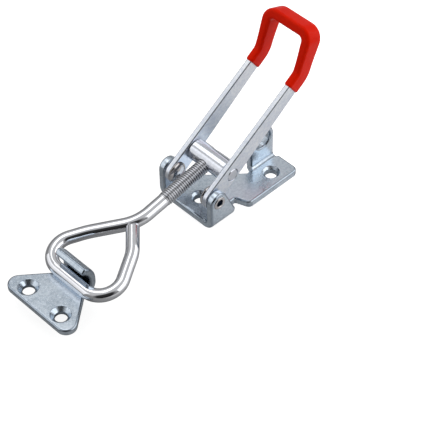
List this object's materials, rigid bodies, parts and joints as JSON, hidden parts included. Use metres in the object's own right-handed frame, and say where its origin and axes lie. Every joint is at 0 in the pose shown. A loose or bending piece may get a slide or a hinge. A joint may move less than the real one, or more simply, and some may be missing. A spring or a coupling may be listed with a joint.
{
  "type": "toggle latch",
  "caption": "Over-centre toggle latch: folded steel base with padlock lug, U-shaped lever with vinyl grip, threaded rod with a wire loop, and a hooked catch plate.",
  "frame": {"origin": "on the mounting face, straight under the lever's pivot, in the middle of the latch", "axes": "+Z away from the mounting face, -X along the rod towards the catch plate, +X towards the lever's grip, +Y towards the side without the tail's free edge"},
  "size_m": [0.1147, 0.0316, 0.0547],
  "materials": {
    "zinc_sheet": "bright zinc plate, satin",
    "zinc_strip": "bright zinc plate, semi-gloss",
    "bright_wire": "bright zinc plate on drawn wire, glossy",
    "turned_steel": "bright zinc plate on turned steel, glossy",
    "red_vinyl": "dip-moulded soft vinyl, semi-gloss"
  },
  "bodies": {
    "base": {"base_plate": "zinc_sheet", "pivot_rivet_near": "turned_steel", "pivot_rivet_far": "turned_steel"},
    "handle": {"handle_frame": "zinc_strip", "handle_grip": "red_vinyl"},
    "trunnion": {"trunnion_barrel": "turned_steel"},
    "hook_rod": {"hook_rod": "bright_wire"},
    "catch": {"catch_plate": "zinc_sheet"}
  },
  "joints": [
    {"name": "handle_pivot", "type": "hinge", "parent": "base", "child": "handle", "pos_m": [0, 0, 0.0112], "axis": [0, -1, 0], "range_deg": [-41, 70]},
    {"name": "trunnion_swivel", "type": "hinge", "parent": "handle", "child": "trunnion", "pos_m": [0.00874, 0, 0.01561], "axis": [0, -1, 0], "range_deg": [-62, 37]},
    {"name": "rod_adjust", "type": "slide", "parent": "trunnion", "child": "hook_rod", "axis": [0.9842, 0, 0.1773], "range_m": [-0.002, 0.008]},
    {"name": "catch_hinge", "type": "hinge", "parent": "hook_rod", "child": "catch", "pos_m": [-0.05139, 0, 0.00478], "axis": [0, -1, 0], "range_deg": [-12, 8]}
  ],
  "couplings": [
    {"joint": "trunnion_swivel", "follows": "handle_pivot", "ratio": -0.86},
    {"joint": "catch_hinge", "follows": "handle_pivot", "ratio": -0.14}
  ]
}
